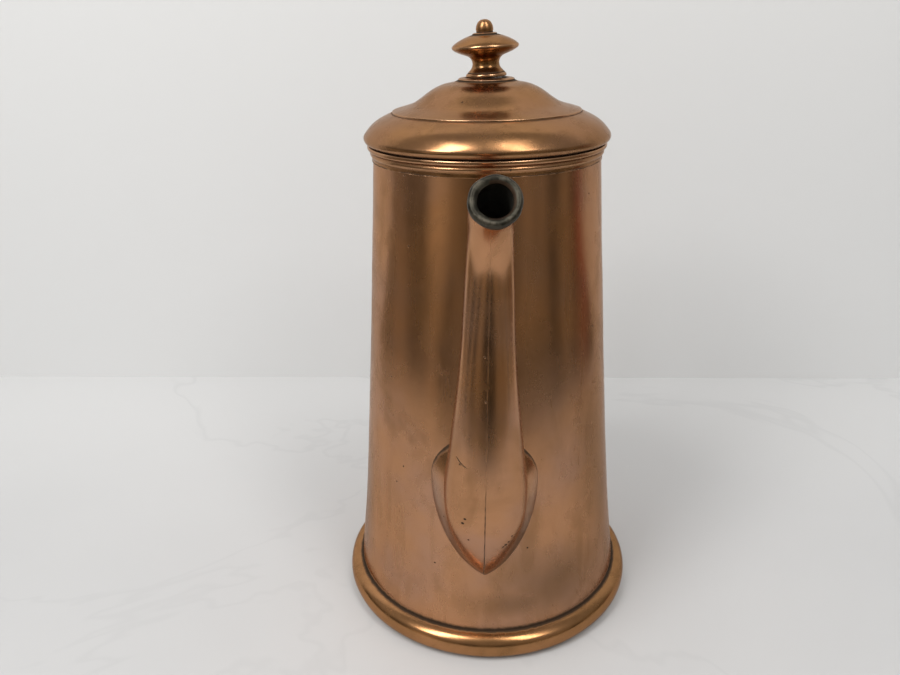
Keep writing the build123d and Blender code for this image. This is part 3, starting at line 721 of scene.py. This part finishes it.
TOP_FLAT_R = 12.4
ogee = moved(0, dome_top, [
    (TOP_FLAT_R, 0), (13.4, -0.45), (15.0, -0.9), (18.0, -1.45), (21.0, -2.45), (24.0, -3.95),
    (27.0, -6.0), (30.0, -8.1), (33.0, -9.7), (36.0, -10.65), (39.0, -11.5), (dome_r, -12.15)])
stud_hole_r = 2.6
dome_shape = outline(
    [(stud_hole_r, dome_top), (TOP_FLAT_R, dome_top)], ogee,
    [(dome_r, dome_top - 12.15), (dome_r, dome_top - 12.95)],
    moved(0, -GAUGE, ogee[::-1]),
    [(TOP_FLAT_R, dome_top - GAUGE), (stud_hole_r, dome_top - GAUGE)],
    [(stud_hole_r, dome_top - GAUGE), (stud_hole_r, dome_top)])
turned("lid_dome_sheet", dome_shape, LID, ["lid_dome"], "copper_lid", copper_lid, 320,
       crevices=((12.3, dome_top + 0.2, 1.3, 1.0), (dome_r, dome_top - 12.95, 0.35, 0.5)),
       dents=0.14)

bezel_low = low("lid_bezel")[2]
bezel_top = high("lid_bezel")[2]
bezel_shape = outline(
    [(bezel_r, bezel_top), (bezel_r, bezel_low + 1.0)],
    [(bezel_r, bezel_low + 1.0), (bezel_r - 0.15, bezel_low + 0.4), (bezel_r - 0.5, bezel_low)],
    [(bezel_r - 0.5, bezel_low), (bezel_r - GAUGE, bezel_low)],
    [(bezel_r - GAUGE, bezel_low), (bezel_r - GAUGE, bezel_top)],
    [(bezel_r - GAUGE, bezel_top), (bezel_r, bezel_top)])
turned("bezel_ring", bezel_shape, LID, ["lid_bezel"], "tinned_bezel", tin_bezel, 256)

# ---------------- Knob and finial, on an axis that leans to -X

washer_top = high("knob_washer")[2]
washer_shape = outline(
    [(stud_hole_r, dome_top), (12.1, dome_top)],
    [(12.1, dome_top), (12.25, dome_top + 0.35), (11.9, dome_top + 0.75), (11.1, washer_top)],
    [(11.1, washer_top), (stud_hole_r, washer_top)],
    [(stud_hole_r, washer_top), (stud_hole_r, dome_top)], corner=0.1)
turned("washer_disc", washer_shape, LID, ["knob_washer"], "copper_knob", copper_knob, 160,
       crevices=((9.0, washer_top, 1.1, 1.0), (12.2, dome_top, 0.6, 0.7)))

KNOB_TILT = math.radians(2.3)
KNOB_BASE_R = 8.7
KNOB_TOP = 16.9
seat = Vector((0, 0, washer_top + KNOB_BASE_R * math.sin(KNOB_TILT)))
knob_place = Matrix.Translation(seat) @ Matrix.Rotation(-KNOB_TILT, 4, "Y")
STUD_R = 2.0
knob_shape = outline(
    [(STUD_R, 0), (8.35, 0)],
    [(8.35, 0), (8.7, 0.35), (8.72, 0.9), (8.4, 1.4), (7.95, 1.6)],
    [(7.95, 1.6), (7.85, 1.95)],
    [(7.85, 1.95), (6.95, 2.8), (6.1, 3.9), (5.75, 5.3), (5.95, 6.6), (6.6, 7.7), (7.6, 8.5)],
    [(7.6, 8.5), (9.6, 9.2), (11.9, 10.1), (13.5, 11.0)],
    [(13.5, 11.0), (14.25, 11.7), (14.35, 12.3), (13.9, 13.0), (12.6, 14.0), (10.6, 15.1),
     (8.2, 16.1), (5.6, KNOB_TOP)],
    [(5.6, KNOB_TOP), (STUD_R, KNOB_TOP)],
    [(STUD_R, KNOB_TOP), (STUD_R, 0)], corner=0.14)
turned("knob_turning", knob_shape, LID, ["knob"], "copper_knob", copper_knob, 192,
       crevices=((8.4, 0, 0.5, 1.0), (7.9, 1.75, 0.3, 0.9), (5.6, KNOB_TOP, 0.7, 1.0)),
       place=knob_place)
FINIAL_TOP = 22.9
finial_shape = outline(
    [(0, KNOB_TOP), (5.2, KNOB_TOP)],
    [(5.2, KNOB_TOP), (5.32, 17.15), (4.95, 17.5), (4.1, 17.65), (3.45, 17.75)],
    [(3.45, 17.75), (3.68, 18.6), (3.62, 19.7), (3.2, 21.0), (2.4, 22.1), (1.3, 22.7),
     (0, FINIAL_TOP)], closed=False, corner=0.1)
open_turned("finial_turning", finial_shape, LID, ["finial_nut"], "copper_knob", copper_knob,
            128, crevices=((5.3, KNOB_TOP, 0.5, 1.0), (3.6, 17.7, 0.45, 1.0)), place=knob_place)

# ---------------- Spout

# From inside the wall to the mouth: front point and back point as (distance in front of the
# axis, height), width, how pointed the front is, and how much the root is flared
TUBE_END_R = 7.6
LIP_ELEVATION = math.radians(35.0)
LIP_X, LIP_OUT, LIP_Z = 2.9, 105.0, 226.8
reach = TUBE_END_R * math.sin(LIP_ELEVATION)
drop = TUBE_END_R * math.cos(LIP_ELEVATION)
SPOUT_STATIONS = [
    ((55.0, 38.5), (46.5, 119.0), 54.0, 1.0, 1.0),
    ((62.0, 41.5), (53.5, 117.0), 46.5, 1.0, 0.8),
    ((66.0, 44.5), (60.0, 113.5), 38.5, 1.0, 0.65),
    ((72.5, 51.0), (62.5, 112.5), 33.5, 0.9, 0.5),
    ((80.0, 62.5), (64.0, 115.0), 34.5, 0.7, 0.35),
    ((86.5, 78.5), (65.0, 121.0), 35.0, 0.5, 0.15),
    ((90.5, 97.0), (65.5, 128.5), 32.0, 0.4, 0.0),
    ((91.5, 115.0), (66.0, 136.5), 29.0, 0.3, 0.0),
    ((91.0, 139.0), (67.0, 149.0), 25.0, 0.2, 0.0),
    ((90.0, 163.0), (69.0, 165.0), 21.5, 0.1, 0.0),
    ((91.5, 189.5), (73.5, 193.5), 18.5, 0.0, 0.0),
    ((93.5, 201.0), (78.0, 207.0), 17.0, 0.0, 0.0),
    ((98.0, 210.0), (85.0, 219.0), 16.0, 0.0, 0.0),
    ((104.0, 216.5), (94.0, 228.5), 15.5, 0.0, 0.0),
    ((LIP_OUT + reach, LIP_Z - drop), (LIP_OUT - reach, LIP_Z + drop), 2 * TUBE_END_R, 0.0, 0.0),
]
ROUND = 0.5523                 # Bezier handle of a quarter circle
AROUND = 240
SPOUT_ROWS = 150


def bezier(p0, p1, p2, p3, t):
    """Points of a cubic Bezier curve."""
    t = t[:, None]
    return (1 - t) ** 3 * p0 + 3 * (1 - t) ** 2 * t * p1 + 3 * (1 - t) * t ** 2 * p2 + t ** 3 * p3


def spout_section(front, back, width, point, flare, inset):
    """Ring of points around the spout at a station, from the front and round to +X."""
    across = np.array([0, front[0] - back[0], back[1] - front[1]])
    half = np.linalg.norm(across) / 2 - inset
    side = width / 2 - inset
    up = across / np.linalg.norm(across)
    height = (front[1] + back[1]) / 2
    x = LIP_X if front == SPOUT_STATIONS[-1][0] else lean_x(height)
    middle = np.array([x, -(front[0] + back[0]) / 2, height])
    pull = ROUND - 0.1 * point
    # A flared section is widest above its middle, and the front is a little flat below the bend
    widest = 0.4 * flare * half
    flat = 0.17 * np.interp(height, [80.0, 100.0, 170.0, 200.0], [0.0, 1.0, 1.0, 0.0])
    t = np.linspace(0, 1, AROUND // 4, endpoint=False)
    low_side = bezier(*[np.array(p) for p in (
        (0, -half), (side * (pull + 0.22 * flare + flat), -half * (1 - 0.17 * point)),
        (side, widest - (half + widest) * (pull + flat)), (side, widest))], t)
    high_side = bezier(*[np.array(p) for p in (
        (side, widest), (side, widest + (half - widest) * ROUND), (side * ROUND, half),
        (0, half))], t)
    right = np.concatenate([low_side, high_side])
    ring = np.concatenate([right, [(0, half)], right[1:][::-1] * (-1, 1)])
    return middle + ring[:, :1] * np.array([1.0, 0, 0]) + ring[:, 1:] * up


def outside_wall(points):
    """Distance of points outside the body's wall."""
    return np.hypot(points[:, 0], points[:, 1]) - wall_radius(points[:, 2])


def from_wall(line, depth):
    """The part of a line that is outside the body, from a depth inside its surface."""
    fine = resample(line, np.linspace(0, 1, 1500))
    gap = outside_wall(fine) + depth
    inside = np.nonzero(gap < 0)[0]
    start = inside[-1] if len(inside) else 0
    return fine[start:]


ROOT_DEPTH = 0.35
# Rows stand closer together near the wall
SPOUT_PLACES = np.concatenate([np.linspace(0, 0.03, 12, endpoint=False),
                               np.linspace(0.03, 1, SPOUT_ROWS - 12)])


def spout_grid(inset):
    """Points of the spout's surface, rows from the wall to the mouth."""
    rings = np.array([spout_section(*station, inset) for station in SPOUT_STATIONS])
    lines = []
    for column in range(rings.shape[1]):
        knots = rings[:, column]
        curve = cubic(lengths(knots), knots)(np.linspace(0, lengths(knots)[-1], 600))
        lines.append(resample(from_wall(curve, ROOT_DEPTH), SPOUT_PLACES))
    return np.array(lines).transpose(1, 0, 2)


outer = spout_grid(0.0)
inner = spout_grid(GAUGE)
far = np.cumsum(np.linalg.norm(np.diff(outer, axis=0, prepend=outer[:1]), axis=2), axis=0)
around = np.linspace(0, 2 * math.pi, outer.shape[1], endpoint=False)
ear = 0.40 + 0.60 * np.clip(-np.cos(around) + 0.2, 0, 1)
front = np.clip(np.cos(around) + 0.3, 0, 1)
# Darkened near the wall, at the seam's tip and under the lip: partly grime, partly painted shade.
root_grime_and_shade = np.exp(-(far / (1.0 + 2.0 * ear)) ** 2) * ear
root_grey = 0.65 * front * np.exp(-(far / 12.0) ** 4)
off_seam = np.minimum(around, 2 * math.pi - around)
tip_grime_and_shade = np.exp(-(far / 3.0) ** 2) * np.exp(-(off_seam / 0.12) ** 2)
lip_grime_and_shade = 0.8 * np.exp(-((far[-1] - far) / 1.2) ** 2)
outer_grime_and_shade = np.maximum.reduce([root_grime_and_shade, tip_grime_and_shade, lip_grime_and_shade])
shell("spout_tube", outer, inner, POT, ["spout_left_half", "spout_right_half"],
      copper_spout, {"grime_and_shade": (outer_grime_and_shade, np.zeros_like(outer_grime_and_shade)),
                     "inside": (root_grey, np.ones_like(outer_grime_and_shade))})

lip_normal = Vector((0, -math.cos(LIP_ELEVATION), math.sin(LIP_ELEVATION)))
lip_turn = Vector((0, 0, 1)).rotation_difference(lip_normal).to_matrix().to_4x4()
lip_place = Matrix.Translation((LIP_X, -LIP_OUT, LIP_Z)) @ lip_turn
LIP_R = 9.1
LIP_HOLE_R = 5.9
lip_shape = outline(
    [(LIP_HOLE_R, 0), (LIP_HOLE_R, 0.35)],
    [(LIP_HOLE_R, 0.35), (6.5, 0.95), (7.4, 1.45), (8.2, 1.4), (8.8, 0.85), (LIP_R, -0.2),
     (9.0, -1.4), (8.7, -2.6), (8.2, -3.1)],
    [(8.2, -3.1), (TUBE_END_R + 0.05, -3.2)],
    [(TUBE_END_R + 0.05, -3.2), (TUBE_END_R + 0.05, 0)],
    [(TUBE_END_R + 0.05, 0), (LIP_HOLE_R, 0)], corner=0.14)
# The inner bevel of the hole, on one side, is darkened almost black: painted shade of the spout's
# throat.
turned("lip_ring", lip_shape, POT, ["spout_lip"], "tinned_lip", tin_lip, 160, dents=0.22,
       dent_size=5.0, place=lip_place,
       inside=lambda p: (np.hypot(p[:, 0], p[:, 1]) < 6.9) & (p[:, 0] > -2))

# ---------------- Handle: sockets on the wall, and a bent wooden grip

SOCKET_END = 80.0
SOCKET_BORE_R = 8.0
TENON = 15.0
SOCKET_ROWS = 60
HANDLE_COLUMNS = 96
HANDLE_TURN = np.linspace(0, 2 * math.pi, HANDLE_COLUMNS, endpoint=False)
# Height on the axis, rise, and distance of the wall
sockets = {"upper": (182.0, math.radians(8.0), 53.0), "lower": (73.0, math.radians(14.0), 61.0)}


def socket_frame(height, rise):
    """Start and direction of a socket's axis."""
    return np.array([0, 0, height]), np.array([0, math.cos(rise), math.sin(rise)])


for name, (height, rise, wall_at) in sockets.items():
    start, direction = socket_frame(height, rise)
    above = np.cross(direction, (1.0, 0, 0))
    profile, _ = outline(
        [(wall_at - 6, 15.5), (wall_at + 1, 14.5)],
        [(wall_at + 1, 14.5), (wall_at + 2.3, 11.6), (wall_at + 4.6, 9.9), (wall_at + 9, 9.3),
         (SOCKET_END - 5, 9.2)],
        [(SOCKET_END - 5, 9.2), (SOCKET_END - 4.2, 9.75), (SOCKET_END - 1.2, 9.85),
         (SOCKET_END - 0.2, 9.5)],
        [(SOCKET_END - 0.2, 9.5), (SOCKET_END, SOCKET_BORE_R + 0.05)], closed=False)
    grids = []
    for line in (profile, np.array([(wall_at - 8, SOCKET_BORE_R + 0.05),
                                    (SOCKET_END, SOCKET_BORE_R + 0.05)])):
        rows = []
        for angle in HANDLE_TURN:
            outward = math.cos(angle) * np.array([1.0, 0, 0]) + math.sin(angle) * above
            path = start + line[:, :1] * direction + line[:, 1:] * outward
            rows.append(resample(from_wall(path, ROOT_DEPTH), np.linspace(0, 1, SOCKET_ROWS)))
        grids.append(np.array(rows).transpose(1, 0, 2))
    far_out = outside_wall(grids[0].reshape(-1, 3)).reshape(SOCKET_ROWS, -1)
    # Darkened where the ferrule meets the wall: partly grime, partly painted shade.
    grime_and_shade = np.exp(-(far_out / 1.0) ** 2)
    shell(f"handle_{name}_ferrule", grids[0], grids[1], POT, [f"handle_{name}_socket"],
          copper_plain, {"grime_and_shade": (grime_and_shade, np.zeros_like(grime_and_shade))})

upper_start, upper_way = socket_frame(*sockets["upper"][:2])
lower_start, lower_way = socket_frame(*sockets["lower"][:2])
grip_knots = np.array([
    upper_start + upper_way * SOCKET_END, upper_start + upper_way * (SOCKET_END + 22),
    (0, 122, 184), (0, 121, 155), (0, 120, 126),
    lower_start + lower_way * (SOCKET_END + 27), lower_start + lower_way * SOCKET_END])


def bezier_path(knots, places):
    """Points on the Bezier curve of any degree with these knots."""
    rows = np.repeat(knots[None], len(places), 0)
    share = places[:, None, None]
    while rows.shape[1] > 1:
        rows = rows[:, :-1] * (1 - share) + rows[:, 1:] * share
    return rows[:, 0]


places = np.linspace(0, 1, 110)
path = bezier_path(grip_knots, places)
way = np.gradient(path, axis=0)
way /= np.linalg.norm(way, axis=1)[:, None]
# Share of the way along the grip, half width and half depth
stations = np.array([(0, 9.8, 9.8), (0.12, 9.4, 10.4), (0.3, 9.2, 11.4), (0.5, 9.2, 10.4),
                     (0.7, 9.0, 9.8), (0.88, 9.2, 9.6), (1, 9.8, 9.8)])
sizes = cubic(stations[:, 0], stations[:, 1:])(places)
# Distance along the socket's axis, and radius, from the tenon's end to the grip
tenon_rows = [(SOCKET_END - TENON, 0.05), (SOCKET_END - TENON, SOCKET_BORE_R - 0.6),
              (SOCKET_END - TENON + 0.6, SOCKET_BORE_R - 0.05),
              (SOCKET_END - 0.02, SOCKET_BORE_R - 0.05), (SOCKET_END + 0.02, 9.3)]
rings = []
side = np.array([1.0, 0, 0])


def ring_at(centre, direction, half_width, half_depth):
    """An oval ring of points across the grip."""
    above = np.cross(direction, side)
    return (centre + half_width * np.cos(HANDLE_TURN)[:, None] * side
            + half_depth * np.sin(HANDLE_TURN)[:, None] * above)


for distance, radius in tenon_rows:
    rings.append(ring_at(upper_start + upper_way * distance, upper_way, radius, radius))
for centre, direction, (half_width, half_depth) in zip(path[1:-1], way[1:-1], sizes[1:-1]):
    rings.append(ring_at(centre, direction, half_width, half_depth))
for distance, radius in tenon_rows[::-1]:
    rings.append(ring_at(lower_start + lower_way * distance, -lower_way, radius, radius))
rings = np.array(rings)
faces = grid_faces(len(rings), HANDLE_COLUMNS, False, True)
last_ring = (len(rings) - 1) * HANDLE_COLUMNS
faces += [list(range(start, start + HANDLE_COLUMNS)) for start in (0, last_ring)]
piece("grip_wooden", rings.reshape(-1, 3), faces, POT, ["handle_grip"], grip_wood)

# Small fittings keep their CAD shape, with their sharp edges broken
BROKEN_EDGE = 0.22


def broken_edges(node, body):
    """A copy of a CAD node with its sharp edges bevelled."""
    work = bmesh.new()
    work.from_mesh(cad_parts[node].data)
    bmesh.ops.remove_doubles(work, verts=work.verts, dist=1e-6)
    bmesh.ops.dissolve_limit(work, angle_limit=math.radians(1), verts=work.verts, edges=work.edges)
    sharp = [e for e in work.edges
             if len(e.link_faces) == 2 and e.calc_face_angle(0) > math.radians(38)]
    bmesh.ops.bevel(work, geom=sharp, offset=BROKEN_EDGE * MM, segments=3, profile=0.5,
                    affect="EDGES", clamp_overlap=True)
    work.verts.index_update()
    points = np.array([v.co for v in work.verts]) / MM
    faces = [[v.index for v in f.verts] for f in work.faces]
    work.free()
    piece(node + "_finished", points, faces, body, [node], brass_metal)


for node, body_name in (
        ("handle_pins", POT), ("hinge_body_leaf", POT), ("hinge_pin", POT),
        ("hinge_lid_leaf", LID), ("knob_stud", LID), ("knob_inner_washer", LID),
        ("knob_lock_nut", LID)):
    broken_edges(node, body_name)

# ---------------- Stage, light and camera

WALL_Y = 0.235                 # all of the stage is in metres
TABLE_FRONT = 0.285
TABLE_SIDE = 0.37


def floor_material():
    """Pale, slightly uneven table top. Away from the table its reflection is a dark room."""
    n = Nodes("floor")
    cloud = n.noise(n.position, 5.0, 3.0)
    axes = n.add("ShaderNodeSeparateXYZ", Vector=n.position)
    tone = n.mix(cloud, color(0.550, 0.556, 0.566), color(0.620, 0.624, 0.630))
    # Painted light: the table top is lighter towards the backdrop.
    tone = n.mix(n.ramp(axes.outputs[1], -0.02, 0.22), tone, color(0.70, 0.705, 0.71))
    veins = n.math("ABSOLUTE", n.math("SUBTRACT", n.noise(n.position, 3.0, 5.0, 0.6, 0.7), 0.5))
    tone = n.mix(n.ramp(veins, 0.012, 0.0, 0.0, 0.12), tone, color(0.42, 0.43, 0.44))
    aside = n.math("POWER", n.math("DIVIDE", n.math("ABSOLUTE", axes.outputs[0]), TABLE_SIDE), 3.0)
    front = n.math("MAXIMUM", n.math("DIVIDE", axes.outputs[1], -TABLE_FRONT), 0.0)
    past = n.math("ADD", aside, n.math("POWER", front, 3.0))
    beyond = n.ramp(past, 0.80, 1.20)
    n.feed(n.shader.inputs["Base Color"], tone)
    n.shader.inputs["Roughness"].default_value = 0.55
    glossy = n.add("ShaderNodeLightPath").outputs["Is Glossy Ray"]
    n.cut_away(n.math("MULTIPLY", beyond, glossy))
    return n.material


def wall_material():
    """White backdrop, seen from the front only."""
    n = Nodes("backdrop")
    n.shader.inputs["Base Color"].default_value = color(0.765, 0.775, 0.785)
    n.shader.inputs["Roughness"].default_value = 0.8
    n.cut_away(n.add("ShaderNodeNewGeometry").outputs["Backfacing"])
    return n.material


def stage_sheet(name, corners, material):
    """A flat sheet of the stage, in metres."""
    mesh = bpy.data.meshes.new(name)
    mesh.from_pydata(corners, [], [tuple(range(len(corners)))])
    mesh.materials.append(material)
    obj = bpy.data.objects.new(name, mesh)
    bpy.context.scene.collection.objects.link(obj)


FAR = 3.0
stage_sheet("floor", [(-FAR, -FAR, 0), (FAR, -FAR, 0), (FAR, FAR, 0), (-FAR, FAR, 0)],
            floor_material())
WALL_HALF = 1.1
WALL_HEIGHT = 0.9
stage_sheet("backdrop", [(-WALL_HALF, WALL_Y, 0), (WALL_HALF, WALL_Y, 0),
                         (WALL_HALF, WALL_Y, WALL_HEIGHT), (-WALL_HALF, WALL_Y, WALL_HEIGHT)],
            wall_material())


LIGHT_DISTANCE = 1.3
LIGHT_TINT = (1.0, 0.985, 0.965)


def heading(azimuth, elevation):
    """Direction at two angles in degrees. Azimuth 0 is in front, positive to +X."""
    a, e = math.radians(azimuth), math.radians(elevation)
    return Vector((math.sin(a) * math.cos(e), -math.cos(a) * math.cos(e), math.sin(e)))


def soft_light(name, azimuth, elevation, size, power):
    """A soft rectangular light that faces the pot."""
    data = bpy.data.lights.new(name, "AREA")
    data.shape = "RECTANGLE"
    data.size, data.size_y = size
    data.energy = power
    data.color = LIGHT_TINT
    obj = bpy.data.objects.new(name, data)
    toward = heading(azimuth, elevation)
    obj.location = toward * LIGHT_DISTANCE
    obj.rotation_euler = toward.to_track_quat("Z", "Y").to_euler()
    bpy.context.scene.collection.objects.link(obj)


soft_light("left_light", -43, 52, (0.33, 0.84), 9.4)
soft_light("right_light", 38, 56, (0.28, 0.82), 5.4)

world = bpy.data.worlds.new("studio")
bpy.context.scene.world = world
world.use_nodes = True
room = Tree(world.node_tree)
outward = room.add("ShaderNodeTexCoord").outputs["Generated"]
patches = room.noise(room.scaled(outward, (1.0, 1.0, 0.25)), 3.2, 2.0, 0.5)
tones = room.add("ShaderNodeValToRGB", i0=patches)
tones.color_ramp.elements[0].position = 0.42
tones.color_ramp.elements[0].color = color(0.028, 0.026, 0.017)
tones.color_ramp.elements[1].position = 0.62
tones.color_ramp.elements[1].color = color(0.30, 0.255, 0.175)


def room_patch(base, azimuth, elevation, wide, near, tint):
    """A soft patch of another colour in the surroundings, around a direction."""
    toward = room.add("ShaderNodeVectorMath", {"operation": "DOT_PRODUCT"}, i0=outward,
                      i1=heading(azimuth, elevation)).outputs["Value"]
    within = room.ramp(toward, math.cos(math.radians(wide)), math.cos(math.radians(near)))
    return room.mix(within, base, tint)


low_room = room_patch(tones.outputs[0], -46, 0, 17, 5, color(0.58, 0.51, 0.38))
low_room = room_patch(low_room, -92, -14, 16, 6, color(0.30, 0.26, 0.20))
low_room = room_patch(low_room, 108, -6, 16, 4, color(0.30, 0.07, 0.05))
rise = room.ramp(room.add("ShaderNodeSeparateXYZ", Vector=outward).outputs[2], 0.05, 0.45)
sky = room.mix(rise, low_room, color(0.35, 0.345, 0.335))
from_camera = room.add("ShaderNodeLightPath").outputs["Is Camera Ray"]
seen = room.mix(from_camera, sky, color(0.70, 0.71, 0.71))
room.feed(room.tree.nodes["Background"].inputs["Color"], seen)
bpy.context.scene.view_settings.view_transform = "Standard"

CAMERA_PLACE = (0.0, -0.3464, 0.2809)
PITCH = 0.3971                 # downwards, in radians
PAN = 0.0518                   # to the left
ROLL = -0.020
FOCAL = 30.4
camera = bpy.data.cameras.new("camera")
camera.lens = FOCAL
camera.sensor_width = 36.0
camera.clip_start = 0.01
camera_object = bpy.data.objects.new("camera", camera)
camera_object.matrix_world = (
    Matrix.Translation(CAMERA_PLACE) @ Matrix.Rotation(PAN, 4, "Z")
    @ Matrix.Rotation(math.pi / 2 - PITCH, 4, "X") @ Matrix.Rotation(ROLL, 4, "Z"))
bpy.context.scene.collection.objects.link(camera_object)
bpy.context.scene.camera = camera_object
